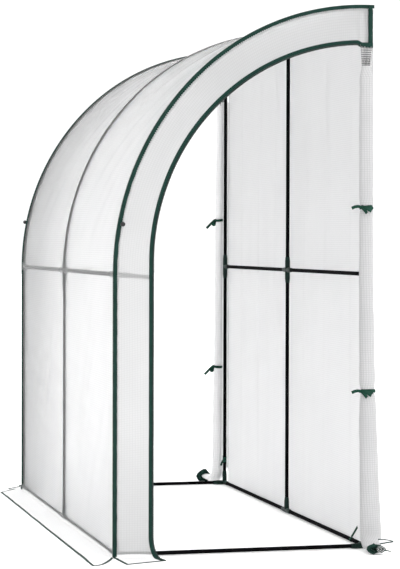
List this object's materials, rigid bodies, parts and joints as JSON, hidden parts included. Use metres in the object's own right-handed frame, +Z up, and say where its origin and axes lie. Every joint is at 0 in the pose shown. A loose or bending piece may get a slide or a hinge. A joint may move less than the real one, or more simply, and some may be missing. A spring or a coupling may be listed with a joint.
{
  "type": "lean-to tunnel greenhouse",
  "caption": "Walk-in lean-to tunnel greenhouse: bent steel-tube ribs and moulded connectors under a translucent film cover, with a rolled-up door tied back at each open end.",
  "frame": {"origin": "foot of the wall face: middle of its length, at ground level", "axes": "+X out of the wall face towards the house wall, +Y along the wall towards the far end, +Z up"},
  "size_m": [1.141, 2.5008, 2.1101],
  "materials": {
    "steel_tube": "black powder coat, satin",
    "connector": "moulded dark green plastic",
    "film": "translucent white polyethylene film with a woven mesh",
    "green_tape": "dark green woven tape",
    "knob": "moulded black plastic"
  },
  "bodies": {
    "root": {"near_side_post": "steel_tube", "mid_side_post": "steel_tube", "far_side_post": "steel_tube", "near_arch": "steel_tube", "mid_arch": "steel_tube", "far_arch": "steel_tube", "near_wall_post": "steel_tube", "mid_wall_post": "steel_tube", "far_wall_post": "steel_tube", "near_base_rail": "steel_tube", "far_base_rail": "steel_tube", "side_base_rails": "steel_tube", "wall_base_rails": "steel_tube", "side_mid_rails": "steel_tube", "wall_mid_rails": "steel_tube", "top_rails": "steel_tube", "near_side_foot": "connector", "mid_side_foot": "connector", "far_side_foot": "connector", "near_wall_foot": "connector", "mid_wall_foot": "connector", "far_wall_foot": "connector", "near_side_joint": "connector", "mid_side_joint": "connector", "far_side_joint": "connector", "near_wall_joint": "connector", "mid_wall_joint": "connector", "far_wall_joint": "connector", "near_top_joint": "connector", "mid_top_joint": "connector", "far_top_joint": "connector", "end_stays": "steel_tube", "side_cover": "film", "roof_cover": "film", "wall_cover": "film", "near_end_band": "film", "far_end_band": "film", "near_edge_binding": "green_tape", "far_edge_binding": "green_tape", "near_door_zip": "green_tape", "far_door_zip": "green_tape", "near_door_roll": "film", "far_door_roll": "film", "near_door_ties": "green_tape", "far_door_ties": "green_tape", "ground_flaps": "film", "arch_knobs": "knob"}
  },
  "joints": []
}
